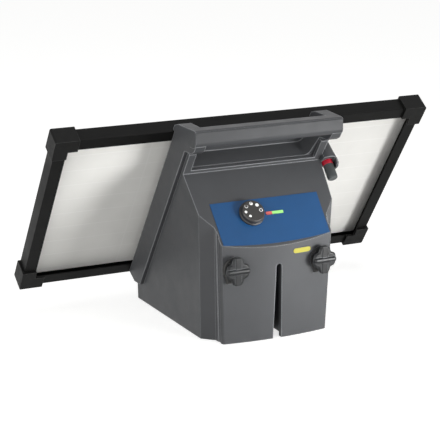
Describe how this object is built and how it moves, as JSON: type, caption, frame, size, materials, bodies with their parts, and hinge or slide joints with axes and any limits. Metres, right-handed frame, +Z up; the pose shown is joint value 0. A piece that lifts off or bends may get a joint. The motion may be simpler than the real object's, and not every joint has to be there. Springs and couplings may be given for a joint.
{
  "type": "solar fence energizer",
  "caption": "Portable solar fence energizer: wedge-shaped housing with carrying handle, rotary dial, lobed fence and earth terminals, and a framed panel leaning on its back.",
  "frame": {"origin": "middle of the flat base of the front housing, on the ground", "axes": "+Z up, -Y towards the user who faces the dial and terminals, +X to that user's right, along the panel"},
  "size_m": [0.6, 0.308, 0.3142],
  "materials": {
    "housing": "matte moulded polypropylene, fine grain",
    "handle_cover": "matte moulded polypropylene",
    "gasket": "soft black rubber",
    "screw_steel": "zinc plated",
    "label": "satin blue film",
    "yellow_plate": "satin yellow film",
    "dial": "fine matte",
    "shaft_steel": "turned steel",
    "switch_body": "matte moulded",
    "window_red": "clear red lens",
    "window_green": "clear green lens",
    "circuit_board": "solder mask",
    "board_parts": "moulded packages",
    "capacitor": "film capacitor case",
    "core": "pressed ferrite",
    "coil": "varnished winding",
    "battery": "moulded ABS case",
    "brass": "tabs",
    "clamp": "zinc coated strap",
    "socket": "moulded",
    "plug": "moulded soft PVC",
    "seal": "red silicone",
    "frame": "black anodised aluminium",
    "corner_cap": "matte nylon",
    "glass": "tempered glass",
    "cells": "silicon cells",
    "back_sheet": "white polymer film",
    "junction": "moulded",
    "lead": "PVC sleeve",
    "insulator": "moulded nylon",
    "stud_steel": "zinc plated",
    "washer_steel": "stainless",
    "terminal_knob": "moulded nylon"
  },
  "bodies": {
    "energizer": {"front_housing": "housing", "rear_housing": "housing", "handle_cover": "handle_cover", "housing_gasket": "gasket", "housing_screws": "screw_steel", "control_label": "label", "yellow_plate": "yellow_plate", "rotary_switch": "switch_body", "window_red": "window_red", "window_green": "window_green", "circuit_board": "circuit_board", "board_parts": "board_parts", "board_screws": "screw_steel", "storage_capacitor": "capacitor", "transformer_core": "core", "transformer_coil": "coil", "battery": "battery", "battery_terminals": "brass", "battery_clamp": "clamp", "clamp_bolts": "screw_steel", "left_insulator": "insulator", "left_stud": "stud_steel", "left_stud_nut": "stud_steel", "right_insulator": "insulator", "right_stud": "stud_steel", "right_stud_nut": "stud_steel", "port_socket": "socket", "frame_top": "frame", "frame_bottom": "frame", "frame_left": "frame", "frame_right": "frame", "cap_top_left": "corner_cap", "cap_top_right": "corner_cap", "cap_bottom_left": "corner_cap", "cap_bottom_right": "corner_cap", "panel_glass": "glass", "solar_cells": "cells", "back_sheet": "back_sheet", "junction_box": "junction", "junction_lid": "junction", "panel_lead": "lead", "lead_grommet": "gasket", "panel_screws": "screw_steel"},
    "dial": {"dial_knob": "dial", "dial_shaft": "shaft_steel"},
    "plug": {"port_plug": "plug", "port_seal": "seal"},
    "left_washer_body": {"left_washer": "washer_steel"},
    "left_knob_body": {"left_knob": "terminal_knob"},
    "right_washer_body": {"right_washer": "washer_steel"},
    "right_knob_body": {"right_knob": "terminal_knob"}
  },
  "joints": [
    {"name": "dial_turn", "type": "hinge", "parent": "energizer", "child": "dial", "pos_m": [-0.0278, -0.09271, 0.1808], "axis": [0, -0.7408, 0.6717], "range_deg": [-225, 0]},
    {"name": "left_washer_slide", "type": "slide", "parent": "energizer", "child": "left_washer_body", "axis": [0, -1, 0], "range_m": [0, 0.005]},
    {"name": "left_knob_spin", "type": "hinge", "parent": "left_washer_body", "child": "left_knob_body", "pos_m": [-0.0696, -0.12704, 0.1126], "axis": [0, -1, 0], "range_deg": [0, 1450]},
    {"name": "right_washer_slide", "type": "slide", "parent": "energizer", "child": "right_washer_body", "axis": [0, -1, 0], "range_m": [0, 0.005]},
    {"name": "right_knob_spin", "type": "hinge", "parent": "right_washer_body", "child": "right_knob_body", "pos_m": [0.0696, -0.12704, 0.1126], "axis": [0, -1, 0], "range_deg": [0, 1450]},
    {"name": "plug_slide", "type": "slide", "parent": "energizer", "child": "plug", "axis": [0, -0.6717, -0.7408], "range_m": [0, 0.032]}
  ],
  "couplings": [
    {"joint": "left_knob_spin", "follows": "left_washer_slide", "rad_per_m": 5026.5},
    {"joint": "right_knob_spin", "follows": "right_washer_slide", "rad_per_m": 5026.5}
  ]
}
